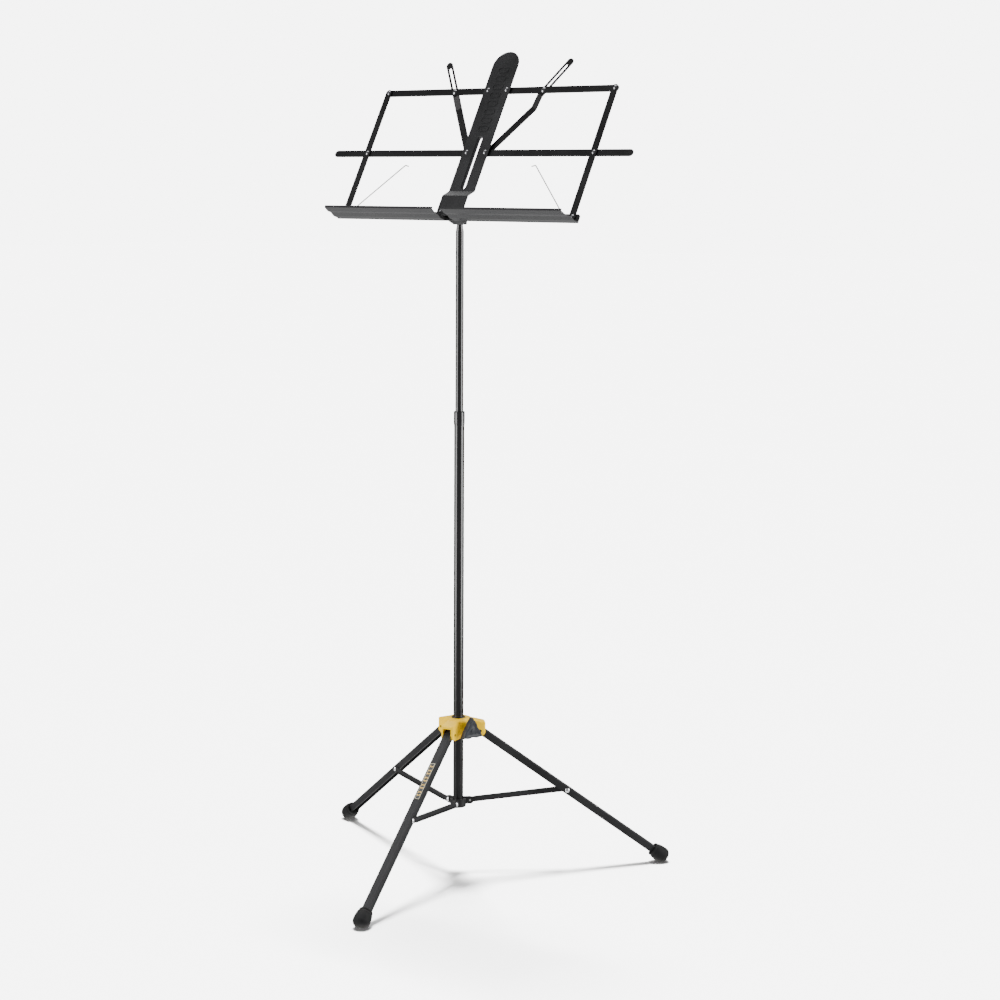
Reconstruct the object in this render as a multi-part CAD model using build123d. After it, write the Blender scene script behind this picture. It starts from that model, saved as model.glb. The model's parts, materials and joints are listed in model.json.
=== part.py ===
from build123d import *
import math
import os

# Folding music stand. Millimetres, +Z up, origin on the pole axis at floor level.
# The open desk runs along X and faces the musician, who stands on the -Y side.

# ---- pole
lower_tube_od = 18.0
lower_tube_wall = 1.2
tube_step = 0.8                 # gap between the upper tube and the lower tube's bore
upper_tube_wall = 1.0
lower_tube_foot = 112.5         # height of the lower tube's bottom end
collar_top = 815.0              # height of the lower tube's top end
collar_swell = 0.7              # how much the collar's radius grows over the tube's
collar_length = 18.0
collar_taper = 7.0
bush_rim = 1.5                  # rim of the friction bush that stands over the collar
upper_tube_length = 647.0
neck_top = 1146.0
neck_radius = 5.2
neck_length = 9.0               # straight part of the swaged neck
neck_taper = 11.0
glide_stem_length = 20.0
glide_flange = 6.0
glide_bevel = 0.8
running_fit = 0.05              # radial clearance of a shaft or glide in its hole
side_gap = 0.3                  # clearance between parts that pass each other
over = 1.0                      # how far outside a face a cutter starts
far = 99.0                      # reach of a cutter that goes right through

# ---- tripod
leg_angles = {"front": -76.84, "right": 43.16, "left": 163.16}
hub_pivot_r = 38.1
hub_pivot_z = 249.7
leg_length = 404.6              # hub pivot to foot centre
foot_centre_z = 13.0
leg_width = 14.0                # channel's web, side to side
leg_depth = 13.0                # channel's flange, top to bottom
leg_wall = 1.2
leg_head = 7.0                  # channel beyond the hub pivot
leg_head_notch = 5.0            # cut under the channel's head, so that it clears the hub
leg_edge = 1.6                  # outer bend radius of the channel
foot_overlap = 18.3             # length of channel held in the foot
foot_radius = 15.5
foot_mouth_wall = 1.35          # rubber over the leg's corners at the foot's mouth
foot_lip = 1.0                  # bevel round the mouth: outwards, and along the leg
foot_lip_length = 1.2
foot_waist = -5.5               # where the sleeve runs into the bulb, along the leg from its centre
foot_waist_inset = 0.8
foot_side_out = 0.9             # a point the bulb's arc passes, in shares of its radius
foot_side_along = 0.45
foot_tip_radius = 5.0
leg_in_foot = 26.0              # foot's mouth to the end of the leg
brace_pivot_r = 21.3
brace_pivot_z = 120.1
brace_station = 193.4           # hub pivot to brace rivet, along the leg
brace_height = 10.0
brace_depth = 3.0
brace_wall = 1.2
brace_end_flat = 9.0            # length of each end where the brace is flattened
leg_pin_radius = 2.5
rivet_shank = 2.0
rivet_head = 4.0
rivet_dome = 1.6
rivet_tail = 1.2
rivet_tail_inset = 0.5          # tail's radius, short of the head's
label_start = 72.0
label_length = 81.0
label_width = 9.6
label_thickness = 0.3
label_corner = 1.2

# ---- hub
hub_top_z = 273.0
hub_lobe_top_z = 265.0          # top of a lobe at its end, below the crown
hub_crown_radius = 14.0
hub_plate_bottom_z = 261.0      # top of the slots that the legs turn in
hub_cheek = 4.6
hub_reach = 47.5                # pole axis to the end of a lobe
hub_body_radius = 25.0
hub_cheek_drop = 10.5           # cheek below the leg pivot
hub_slot_root = 23.0            # pole axis to the slot's inner wall
hub_top_round = 2.2
hub_corner_round = 4.0
hub_crown_round = 6.0
hub_skirt_height = 8.0          # body between the lobes stops this far above their feet
hub_core_inset = 6.0            # the core that reaches down inside it, short of the body's radius
hub_cheek_flat = 1.0            # a cheek's foot, below its round end
leg_pin_recess = 0.8            # pin's end, below the cheek's face
hub_bush_wall = 2.0             # hub bush, beyond the lower tube
hub_bush_lip = 1.3
hub_bush_flange_height = 1.5
hub_bush_edge = 0.5
knob_angle = -16.84
knob_z = 256.5
knob_stud_radius = 3.0
knob_face_r = 47.0              # pole axis to the knob's front face
knob_thickness = 13.0
knob_lobe_radius = 7.8
knob_lobe_offset = 9.6
knob_core_radius = 11.4         # the flanks between the lobes
knob_flank_round = 4.0
knob_face_round = 2.5
knob_back_bevel = 2.0
knob_boss_radius = 8.0
knob_boss_length = 5.0
knob_seat = 8.0                 # length of the stud held in the knob
pad_length = 4.0

# ---- bottom bracket
bracket_bottom = 110.0
bracket_height = 14.5
bracket_radius = 14.0
bracket_round = 3.0
bracket_pin_inset = 0.5         # pin's ends, below the bracket's surface
bracket_ear_radius = 6.6
bracket_ear_thickness = 4.6

# ---- desk, drawn flat: x across, y up the desk, z towards the musician
desk_tilt = 29.24               # back from vertical
desk_height = 1170.8            # height of the desk's drawing origin on the pole axis
desk_offset = 7.8               # plate's front face in front of that point
plate_thickness = 1.2
bar_thickness = 2.0
bar_width = 12.7
pivot_x = 20.0                  # centre rivets, left and right of the middle
top_pivot_y = 223.15
mid_pivot_y = 99.84
tray_pivot_y = -21.5
bar_length = 227.3              # centre rivet to side bar rivet
mid_bar_extension = 78.0        # mid bar beyond the side bar, to its tip
plate_half_width = 28.0
plate_top_y = 299.2
plate_joggle_top_y = 23.0
plate_joggle_bottom_y = 8.0
plate_joggle = 12.0             # how far the lower plate stands forward
plate_lower_round = 8.0
slot_half_width = 5.2
slot_top_y = 132.1
slot_bottom_y = 27.0
slot_flange = 8.0
bead_raise = 0.6                # raised oval beads that stiffen the plate
bead_length = 23.0
bead_height = 11.0
bead_width = 1.5
bead_pitch = 16.6
bead_first_y = 146.0
bead_count = 8
arm_angle = 32.02               # from the desk's upright, set by the top bar's pin
arm_length = 218.0
arm_knee = 112.0                # where the arm turns, from its pivot
arm_straight = 136.0            # from here on it runs along its slot
arm_knee_out = 3.5              # knee's offset, away from the middle
arm_bow = 7.0                   # knee's offset, back from the desk
arm_slot_half_width = 2.8
arm_slot_end = 202.5
arm_pin_station = 77.1          # top bar's centre rivet to the arm pin
arm_pin_radius = 2.5
arm_stud_head = 4.8

# ---- tray
tray_sheet = 1.2
tray_flange_top = 6.0           # flange above the rivet line
tray_drop = 9.2                 # rivet line down to the shelf
tray_depth = 36.0               # plate's front face to the shelf's front edge
tray_rib = 2.0
tray_ribs = (8.5, 18.0, 26.5)   # valleys and ridge, from the plate's front face
tray_lip = 3.0
tray_overhang = 14.7            # tray beyond the side bar's rivet
tray_inner_left = 18.0          # shelf of the left half stops here
tray_inner_right = 2.0          # shelf of the right half laps under the plate
tray_chamfer_x = 9.7
tray_chamfer_n = 26.0
flange_round = 8.0
flange_corner = 5.5

# ---- page wires
wire_radius = 1.1
wire_inset = 18.8               # wire's post, short of the side bar's rivet
wire_y = -23.0
wire_lean = 44.0                # from the desk's upright, towards the middle
wire_length = 129.0
wire_hook = 7.0
wire_hook_turn = 62.0           # the hook's bend, further towards the middle
wire_plane = 3.4                # height of the wire over the plate's front face
post_radius = 2.4
post_head = 4.0

# ---- tilt joint
tilt_pivot_z = 1152.0
tilt_ear_radius = 8.0
yoke_ear_outer = 25.7
yoke_wall = 3.0
yoke_base_half = 8.0
yoke_bottom_z = 1138.0
yoke_flare_z = 1147.0
yoke_half_depth = 7.0
yoke_floor = 1.5                # floor between the ears, over the flare
yoke_boss_wall = 5.0            # boss round the neck
lug_gap = 0.8
lug_thickness = 2.5
tilt_bolt_radius = 2.5
tilt_bolt_head = 5.0
tilt_bolt_dome = 2.6
tilt_bolt_tail = 5.5            # thread beyond the lug, through the nut
tilt_nut_height = 4.5
washer_inset = 0.6              # washer's radius, short of the ear's
washer_play = 0.1
spacer_wall = 1.0
tilt_bracket_thickness = 2.0
tilt_bracket_top_y = -6.0

tube_inner = lower_tube_od / 2 - lower_tube_wall
hub_bush_outer = lower_tube_od / 2 + hub_bush_wall
hub_bush_flange = hub_bush_outer + hub_bush_lip
collar_outer = lower_tube_od / 2 + collar_swell
collar_inner = collar_outer - lower_tube_wall
upper_outer = tube_inner - tube_step
upper_inner = upper_outer - upper_tube_wall
upper_tube_bottom = neck_top - upper_tube_length
foot_mouth_radius = math.hypot(leg_width, leg_depth) / 2 + foot_mouth_wall
leg_drop = math.asin((hub_pivot_z - foot_centre_z) / leg_length)
leg_slot_half = leg_width / 2 + side_gap
brace_plane = leg_width / 2 + side_gap
layer_1_front = -(plate_thickness + side_gap)
layer_1_back = layer_1_front - bar_thickness
layer_2_front = layer_1_back - side_gap
layer_2_back = layer_2_front - bar_thickness
rear_front = layer_2_back - side_gap
rear_back = rear_front - bar_thickness
shelf_top_y = tray_pivot_y - tray_drop
side_bar_x = pivot_x + bar_length
tray_outer_x = side_bar_x + tray_overhang
wire_x = side_bar_x - wire_inset

tilt = math.radians(desk_tilt)
desk_normal = Vector(0, -math.cos(tilt), math.sin(tilt))
desk_up = Vector(0, math.sin(tilt), math.cos(tilt))
desk_origin = Vector(0, 0, desk_height) + desk_normal * desk_offset
desk = Plane(origin=desk_origin, x_dir=(1, 0, 0), z_dir=desk_normal)
tilt_pivot = Vector(0, 0, tilt_pivot_z) - desk_origin
tilt_y = tilt_pivot.dot(desk_up)
tilt_n = tilt_pivot.dot(desk_normal)

nodes = {}


def rod(radius, length, axis="Z"):
    turn = {"X": (0, 90, 0), "Y": (-90, 0, 0), "Z": (0, 0, 0)}[axis]
    return Rot(*turn) * extrude(Circle(radius), length)


def between(low, high):
    size = [b - a for a, b in zip(low, high)]
    middle = [(a + b) / 2 for a, b in zip(low, high)]
    return Pos(*middle) * Box(*size)


def turned(profile):
    face = make_face(Polyline(*[(r, 0, z) for r, z in profile], close=True))
    return revolve(face, Axis.Z)


def slab(sketch, back, front):
    return Pos(0, 0, back) * extrude(sketch, front - back)


def dome(radius, height):
    ball = (radius * radius + height * height) / (2 * height)
    cap = Pos(0, 0, height - ball) * Sphere(ball)
    return cap & extrude(Circle(radius + height), height)


def rivet(x, y, front, back, shank=rivet_shank):
    """A domed rivet along z, from its head's seat at front to its tail's seat at back."""
    body = Pos(0, 0, back) * rod(shank, front - back)
    head = Pos(0, 0, front) * dome(rivet_head, rivet_dome)
    tail = Pos(0, 0, back - rivet_tail) * rod(rivet_head - rivet_tail_inset, rivet_tail)
    return Pos(x, y, 0) * (body + head + tail)


def strip(start, end, width, back, front):
    """A flat bar with round ends, from one end's centre to the other's."""
    dx, dy = end[0] - start[0], end[1] - start[1]
    length = math.hypot(dx, dy)
    shape = Pos(length / 2, 0) * SlotOverall(length + width, width)
    turn = Rot(0, 0, math.degrees(math.atan2(dy, dx)))
    return Pos(start[0], start[1], 0) * turn * slab(shape, back, front)


def hole(x, y, radius):
    return Pos(x, y, -far) * rod(radius, 2 * far)


# ---- pole pieces
def make_lower_tube():
    swell_start = collar_top - collar_length
    taper_start = swell_start - collar_taper
    outer = lower_tube_od / 2
    profile = [(tube_inner, lower_tube_foot), (outer, lower_tube_foot), (outer, taper_start),
               (collar_outer, swell_start), (collar_outer, collar_top), (collar_inner, collar_top),
               (collar_inner, swell_start), (tube_inner, taper_start)]
    tube = turned(profile)
    return tube - bracket_pin_rod()


def make_friction_bush():
    low = collar_top - collar_length + side_gap
    inner = upper_outer + running_fit
    profile = [(inner, low), (collar_inner, low), (collar_inner, collar_top),
               (collar_outer, collar_top), (collar_outer - side_gap, collar_top + bush_rim),
               (inner, collar_top + bush_rim)]
    return turned(profile)


def make_upper_tube():
    taper_end = neck_top - neck_length
    taper_start = taper_end - neck_taper
    bore = neck_radius - upper_tube_wall
    profile = [(upper_inner, upper_tube_bottom), (upper_outer, upper_tube_bottom),
               (upper_outer, taper_start), (neck_radius, taper_end), (neck_radius, neck_top),
               (bore, neck_top), (bore, taper_end), (upper_inner, taper_start)]
    return turned(profile)


def make_glide():
    seat = upper_tube_bottom - running_fit
    flange = Pos(0, 0, seat - glide_flange) * rod(tube_inner - running_fit, glide_flange)
    stem = Pos(0, 0, seat) * rod(upper_inner - running_fit, glide_stem_length)
    return chamfer(flange.edges().group_by(Axis.Z)[0], glide_bevel) + stem


def bracket_pin_rod():
    middle = bracket_bottom + bracket_height / 2
    half = bracket_radius - bracket_pin_inset
    return Pos(0, -half, middle) * rod(rivet_shank, 2 * half, "Y")


def radial(angle, shape):
    return Rot(0, 0, angle) * shape


def make_bottom_bracket():
    body = Pos(0, 0, bracket_bottom) * rod(bracket_radius, bracket_height)
    body = fillet(body.edges().group_by(Axis.Z)[0], bracket_round)
    outer = brace_plane - side_gap
    for angle in leg_angles.values():
        low = (0, outer - bracket_ear_thickness, brace_pivot_z - bracket_ear_radius)
        high = (brace_pivot_r, outer, brace_pivot_z + bracket_ear_radius)
        disc = rod(bracket_ear_radius, bracket_ear_thickness, "Y")
        eye = Pos(brace_pivot_r, low[1], brace_pivot_z) * disc
        body += radial(angle, between(low, high) + eye)
    body -= Pos(0, 0, lower_tube_foot) * rod(lower_tube_od / 2, far)
    for angle in leg_angles.values():
        start = Pos(brace_pivot_r, 0, brace_pivot_z)
        body -= radial(angle, start * rod(rivet_shank, outer + over, "Y"))
    return body - bracket_pin_rod()


# ---- tripod pieces, drawn in a radial plane: x outwards, y sideways, z up
def leg_frame():
    along = (math.cos(leg_drop), 0, -math.sin(leg_drop))
    up = (math.sin(leg_drop), 0, math.cos(leg_drop))
    return Plane(origin=(hub_pivot_r, 0, hub_pivot_z), x_dir=along, z_dir=up)


def make_leg():
    end = leg_length - foot_overlap + leg_in_foot
    half = leg_width / 2
    low = (-leg_head, -half, -leg_depth / 2)
    outer = between(low, (end, half, leg_depth / 2))
    outer = fillet(outer.edges().filter_by(Axis.X).group_by(Axis.Z)[-1], leg_edge)
    inner_low = (-leg_head, -half + leg_wall, -leg_depth / 2)
    inner = between(inner_low, (end, half - leg_wall, leg_depth / 2 - leg_wall))
    channel = outer - inner
    notch_high = (-leg_head + leg_head_notch, half, -leg_depth / 2 + leg_head_notch)
    channel -= between((-leg_head - over, -half, -leg_depth / 2), notch_high)
    channel -= Pos(0, -half, 0) * rod(leg_pin_radius + running_fit, leg_width, "Y")
    channel -= Pos(brace_station, -half, 0) * rod(rivet_shank, leg_width, "Y")
    return leg_frame() * channel


def make_foot():
    """Rubber bulb, turned about the leg's axis and cut flat at the floor."""
    start = -foot_overlap
    waist = (foot_radius - foot_waist_inset, 0, foot_waist)
    tip = (foot_tip_radius, 0, foot_radius)
    side = (foot_radius * foot_side_out, 0, foot_radius * foot_side_along)
    sleeve = [tip, (0, 0, foot_radius), (0, 0, start), (foot_mouth_radius, 0, start),
              (foot_mouth_radius + foot_lip, 0, start + foot_lip_length), waist]
    bulb = revolve(make_face(Polyline(*sleeve) + ThreePointArc(waist, side, tip)), Axis.Z)
    pocket = between((start - over, -leg_width / 2, -leg_depth / 2),
                     (leg_in_foot - foot_overlap, leg_width / 2, leg_depth / 2))
    foot = leg_frame() * (Pos(leg_length, 0, 0) * (Rot(0, 90, 0) * bulb - pocket))
    below = between((0, -far, -far), (hub_pivot_r + leg_length + far, far, 0))
    return foot - below


def make_leg_rivet():
    """The rivet's far head, on the leg's side away from the brace."""
    head = Rot(90, 0, 0) * dome(rivet_head, rivet_dome)
    shank = Pos(0, -leg_width / 2, 0) * rod(rivet_shank, leg_width, "Y")
    return leg_frame() * (Pos(brace_station, -leg_width / 2, 0) * head + Pos(brace_station, 0, 0) * shank)


def brace_frame():
    knee_x = hub_pivot_r + brace_station * math.cos(leg_drop)
    knee_z = hub_pivot_z - brace_station * math.sin(leg_drop)
    run, rise = knee_x - brace_pivot_r, knee_z - brace_pivot_z
    length = math.hypot(run, rise)
    along = (run / length, 0, rise / length)
    up = (-rise / length, 0, run / length)
    plane = Plane(origin=(brace_pivot_r, 0, brace_pivot_z), x_dir=along, z_dir=up)
    return plane, length


def make_brace():
    plane, length = brace_frame()
    half = brace_height / 2
    flat = Pos(length / 2, 0) * SlotOverall(length + brace_height, brace_height)
    web = Rot(90, 0, 0) * extrude(flat, -brace_wall)
    web = Pos(0, brace_plane, 0) * web
    edge = brace_plane + brace_depth
    rails = between((brace_end_flat, brace_plane, -half), (length - brace_end_flat, edge, half))
    rails -= between((0, brace_plane, -half + brace_wall), (length, edge, half - brace_wall))
    bar = web + rails
    for x in (0, length):
        bar -= Pos(x, 0, 0) * rod(rivet_shank + (running_fit if x == 0 else 0), far, "Y")
    return plane * bar


def make_brace_pin():
    """Bracket pivot of one brace: shank through ear and brace, domed head outside."""
    inner = brace_plane - side_gap - bracket_ear_thickness
    outer = brace_plane + brace_wall + running_fit
    shank = Pos(0, inner, 0) * rod(rivet_shank, outer - inner, "Y")
    head = Pos(0, outer, 0) * Rot(-90, 0, 0) * dome(rivet_head, rivet_dome)
    plane = Pos(brace_pivot_r, 0, brace_pivot_z)
    return plane * (shank + head)


def make_brace_rivet():
    """The rivet's near half: domed head on the brace, shank flush with its back."""
    plane, length = brace_frame()
    shank = Pos(length, brace_plane, 0) * rod(rivet_shank, brace_wall, "Y")
    head = Pos(length, brace_plane + brace_wall, 0) * Rot(-90, 0, 0) * dome(rivet_head, rivet_dome)
    return plane * (shank + head)


def make_label():
    top = leg_depth / 2
    half = label_width / 2
    high = (label_start + label_length, half, top + label_thickness)
    sheet = between((label_start, -half, top), high)
    return leg_frame() * fillet(sheet.edges().filter_by(Axis.Z), label_corner)


# ---- hub pieces
def hub_lobe(bottom):
    """One lobe, its top falling away from the crown and its upper and end edges rounded."""
    half = leg_slot_half + hub_cheek
    side = [(0, bottom), (hub_reach, bottom), (hub_reach, hub_lobe_top_z),
            (hub_crown_radius, hub_top_z - side_gap), (0, hub_top_z - side_gap)]
    face = make_face(Polyline(*[(x, half, z) for x, z in side], close=True))
    lobe = extrude(face, 2 * half, dir=(0, -1, 0))
    lobe = fillet(lobe.edges().filter_by(Axis.Z).group_by(Axis.X)[-1], hub_corner_round)
    return fillet(lobe.faces().sort_by(Axis.Z)[-2].outer_wire().edges().sort_by(Axis.X)[1:], hub_top_round)


def make_hub():
    bottom = hub_pivot_z - hub_cheek_drop
    body = Pos(0, 0, bottom) * rod(hub_body_radius, hub_top_z - bottom)
    body = fillet(body.edges().group_by(Axis.Z)[-1], hub_crown_round)
    for angle in leg_angles.values():
        body += radial(angle, hub_lobe(bottom))
    height = hub_skirt_height + over
    skirt = Pos(0, 0, bottom - over) * (rod(far, height) - rod(hub_body_radius - hub_core_inset, height))
    for angle in leg_angles.values():
        half = leg_slot_half + hub_cheek
        skirt -= radial(angle, between((0, -half, bottom - 2 * over), (hub_reach, half, bottom + height)))
    body -= skirt
    for angle in leg_angles.values():
        slot_low = (hub_slot_root, -leg_slot_half, bottom - over)
        slot = between(slot_low, (far, leg_slot_half, hub_plate_bottom_z))
        start = Pos(hub_pivot_r, -far, hub_pivot_z)
        pin = start * rod(leg_pin_radius, 2 * far, "Y")
        corner = between((hub_pivot_r, -far, bottom - over), (far, far, hub_pivot_z))
        corner -= start * rod(hub_cheek_drop - hub_cheek_flat, 2 * far, "Y")
        body -= radial(angle, slot + pin) + radial(angle, corner)
    body -= Pos(0, 0, bottom - over) * rod(hub_bush_outer, far)
    return body - stud_hole()


def stud_hole():
    return radial(knob_angle, Pos(0, 0, knob_z) * rod(knob_stud_radius + running_fit, far, "X"))


def make_hub_bush():
    low = hub_pivot_z - hub_cheek_drop
    inner = lower_tube_od / 2 + running_fit
    top = hub_top_z + hub_bush_flange_height
    profile = [(inner, low), (hub_bush_outer, low), (hub_bush_outer, hub_top_z),
               (hub_bush_flange, hub_top_z), (hub_bush_flange - hub_bush_edge, top), (inner, top)]
    return turned(profile) - stud_hole()


def make_leg_pin():
    half = leg_slot_half + hub_cheek - leg_pin_recess
    return Pos(hub_pivot_r, -half, hub_pivot_z) * rod(leg_pin_radius, 2 * half, "Y")


def make_clamp_pad():
    inner = lower_tube_od / 2 + running_fit
    pad = Pos(inner, 0, knob_z) * rod(knob_stud_radius, pad_length, "X")
    return radial(knob_angle, pad - rod(inner, knob_z + far))


def make_knob():
    start = knob_face_r - knob_thickness
    plan = Circle(knob_core_radius)
    for turn in (90, 210, 330):
        plan += Rot(0, 0, turn) * Pos(knob_lobe_offset, 0) * Circle(knob_lobe_radius)
    plan = fillet(plan.vertices(), knob_flank_round)
    head = extrude(plan, knob_thickness)
    head = fillet(head.edges().group_by(Axis.Z)[-1], knob_face_round)
    head = chamfer(head.edges().group_by(Axis.Z)[0], knob_back_bevel)
    boss = Pos(0, 0, -knob_boss_length) * rod(knob_boss_radius, knob_boss_length)
    seat = Pos(0, 0, -knob_boss_length) * rod(knob_stud_radius, knob_boss_length + knob_seat)
    frame = Plane(origin=(start, 0, knob_z), x_dir=(0, 1, 0), z_dir=(1, 0, 0))
    return radial(knob_angle, frame * (head + boss - seat))


def make_knob_stud():
    start = lower_tube_od / 2 + running_fit + pad_length + side_gap
    end = knob_face_r - knob_thickness + knob_seat
    stud = Pos(start, 0, knob_z) * rod(knob_stud_radius, end - start, "X")
    return radial(knob_angle, stud)


# ---- tilt joint pieces
def make_tilt_yoke():
    outer = [(-yoke_base_half, yoke_bottom_z), (yoke_base_half, yoke_bottom_z),
             (yoke_ear_outer, yoke_flare_z), (yoke_ear_outer, tilt_pivot_z),
             (-yoke_ear_outer, tilt_pivot_z), (-yoke_ear_outer, yoke_flare_z)]
    inner_half = yoke_ear_outer - yoke_wall
    floor = yoke_flare_z + yoke_floor
    boss = neck_radius + yoke_boss_wall
    front = Plane(origin=(0, yoke_half_depth, 0), x_dir=(1, 0, 0), z_dir=(0, -1, 0))
    depth = 2 * yoke_half_depth
    body = front * extrude(make_face(Polyline(*outer, close=True)), depth)
    body -= between((-inner_half, -far, floor), (inner_half, far, tilt_pivot_z + over))
    for start in (-inner_half, boss):
        low = (start, -yoke_half_depth + yoke_wall, yoke_bottom_z - over)
        body -= between(low, (start + inner_half - boss, far, floor + over))
    for x in (-yoke_ear_outer, yoke_ear_outer - yoke_wall):
        body += Pos(x, 0, tilt_pivot_z) * rod(tilt_ear_radius, yoke_wall, "X")
    body -= Pos(-far, 0, tilt_pivot_z) * rod(tilt_bolt_radius + running_fit, 2 * far, "X")
    return body - rod(neck_radius, neck_top)


def make_tilt_bracket():
    lug_inner = yoke_ear_outer + lug_gap
    lug_outer = lug_inner + lug_thickness
    low_y = tray_pivot_y - plate_lower_round
    back = rear_front - tilt_bracket_thickness
    base = between((-lug_outer, low_y, back), (lug_outer, tilt_bracket_top_y, rear_front))
    for x in (-lug_outer, lug_inner):
        eye = Pos(x, tilt_y, tilt_n) * rod(tilt_ear_radius, lug_thickness, "X")
        arm_low = (x, tilt_y - tilt_ear_radius, tilt_n)
        base += eye + between(arm_low, (x + lug_thickness, tilt_y + tilt_ear_radius, back))
    base -= Pos(-far, tilt_y, tilt_n) * rod(tilt_bolt_radius, 2 * far, "X")
    for side in (-1, 1):
        base -= hole(side * pivot_x, tray_pivot_y, rivet_shank)
    return desk * base


def make_tilt_bolt():
    end = yoke_ear_outer + lug_gap + lug_thickness
    shank = Pos(-end, 0, 0) * rod(tilt_bolt_radius, 2 * end + tilt_bolt_tail, "X")
    head = Pos(-end, 0, 0) * Rot(0, -90, 0) * dome(tilt_bolt_head, tilt_bolt_dome)
    return Pos(0, 0, tilt_pivot_z) * (shank + head)


def make_tilt_nut():
    start = yoke_ear_outer + lug_gap + lug_thickness
    nut = Rot(0, 90, 0) * extrude(RegularPolygon(tilt_bolt_head, 6), tilt_nut_height)
    nut -= Pos(-over, 0, 0) * rod(tilt_bolt_radius, far, "X")
    return Pos(start, 0, tilt_pivot_z) * nut


def make_tilt_washers():
    ring = Circle(tilt_ear_radius - washer_inset) - Circle(tilt_bolt_radius + running_fit)
    washer = extrude(ring, lug_gap - washer_play)
    right = Pos(yoke_ear_outer + washer_play, 0, tilt_pivot_z) * Rot(0, 90, 0) * washer
    return Compound(children=[right, mirror(right, Plane.YZ)])


# ---- desk pieces, drawn flat; the right half is drawn and the left half mirrored
def make_centre_plate():
    top_centre = plate_top_y - plate_half_width
    upper = Pos(0, (top_centre + plate_joggle_top_y) / 2) * Rectangle(
        2 * plate_half_width, top_centre - plate_joggle_top_y)
    upper += Pos(0, top_centre) * Circle(plate_half_width)
    slot_middle = (slot_top_y + slot_bottom_y) / 2
    slot = Pos(0, slot_middle) * Rot(0, 0, 90) * SlotOverall(slot_top_y - slot_bottom_y, 2 * slot_half_width)
    plate = slab(upper - slot, -plate_thickness, 0)
    rim = Pos(0, slot_middle) * Rot(0, 0, 90) * SlotOverall(
        slot_top_y - slot_bottom_y + 2 * plate_thickness, 2 * (slot_half_width + plate_thickness))
    plate += slab(rim - slot, -slot_flange, -plate_thickness)
    lower_back = plate_joggle - plate_thickness
    low = tray_pivot_y
    lower = Pos(0, (plate_joggle_bottom_y + low) / 2) * Rectangle(
        2 * plate_half_width, plate_joggle_bottom_y - low)
    lower += Pos(0, low - plate_lower_round / 2) * Rectangle(2 * pivot_x, plate_lower_round)
    for side in (-1, 1):
        lower += Pos(side * pivot_x, low) * Circle(plate_lower_round)
    plate += slab(lower, lower_back, plate_joggle)
    step = [(plate_joggle_top_y, 0), (plate_joggle_bottom_y, plate_joggle),
            (plate_joggle_bottom_y, lower_back), (plate_joggle_top_y, -plate_thickness)]
    ramp_face = make_face(Polyline(*[(0, y, n) for y, n in step], close=True))
    plate += Pos(-plate_half_width, 0, 0) * extrude(ramp_face, 2 * plate_half_width, dir=(1, 0, 0))
    for index in range(bead_count):
        bead = SlotOverall(bead_length, bead_height) - SlotOverall(
            bead_length - 2 * bead_width, bead_height - 2 * bead_width)
        plate += slab(Pos(0, bead_first_y + index * bead_pitch) * bead, 0, bead_raise)
    for side in (-1, 1):
        for y in (top_pivot_y, mid_pivot_y, tray_pivot_y):
            plate -= hole(side * pivot_x, y, rivet_shank)
    return desk * plate


def make_plate_rivets():
    pieces = []
    for side in (-1, 1):
        x = side * pivot_x
        pieces.append(rivet(x, top_pivot_y, 0, rear_front))
        pieces.append(rivet(x, mid_pivot_y, 0, rear_back - side_gap))
        pieces.append(rivet(x, tray_pivot_y, plate_joggle, rear_front - tilt_bracket_thickness))
    return desk * Compound(children=pieces)


def make_plate_spacers():
    pieces = []
    short = extrude(Circle(rivet_shank + spacer_wall) - Circle(rivet_shank), bar_thickness)
    for side in (-1, 1):
        for y in (top_pivot_y, mid_pivot_y):
            pieces.append(Pos(side * pivot_x, y, layer_1_back) * short)
    return desk * Compound(children=pieces)


def make_tray_spacers():
    back = layer_2_front + side_gap
    length = plate_joggle - plate_thickness - back
    sleeve = extrude(Circle(rivet_head) - Circle(rivet_shank), length)
    pieces = [Pos(side * pivot_x, tray_pivot_y, back) * sleeve for side in (-1, 1)]
    return desk * Compound(children=pieces)


def make_top_bar():
    bar = strip((pivot_x, top_pivot_y), (side_bar_x, top_pivot_y), bar_width,
                layer_2_back, layer_2_front)
    bar -= hole(pivot_x, top_pivot_y, rivet_shank + running_fit)
    bar -= hole(pivot_x + arm_pin_station, top_pivot_y, rivet_shank)
    return bar - hole(side_bar_x, top_pivot_y, rivet_shank + running_fit)


def make_mid_bar():
    tip = side_bar_x + mid_bar_extension - bar_width / 2
    bar = strip((pivot_x, mid_pivot_y), (tip, mid_pivot_y), bar_width, layer_2_back, layer_2_front)
    bar -= hole(pivot_x, mid_pivot_y, rivet_shank + running_fit)
    return bar - hole(side_bar_x, mid_pivot_y, rivet_shank + running_fit)


def make_side_bar():
    x = side_bar_x
    bar = strip((x, tray_pivot_y), (x, top_pivot_y), bar_width, layer_1_back, layer_1_front)
    for y in (top_pivot_y, mid_pivot_y, tray_pivot_y):
        bar -= hole(x, y, rivet_shank)
    return bar


def make_side_rivets():
    x = side_bar_x
    heights = (top_pivot_y, mid_pivot_y, tray_pivot_y)
    return Compound(children=[rivet(x, y, layer_1_front, rear_front) for y in heights])


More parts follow.
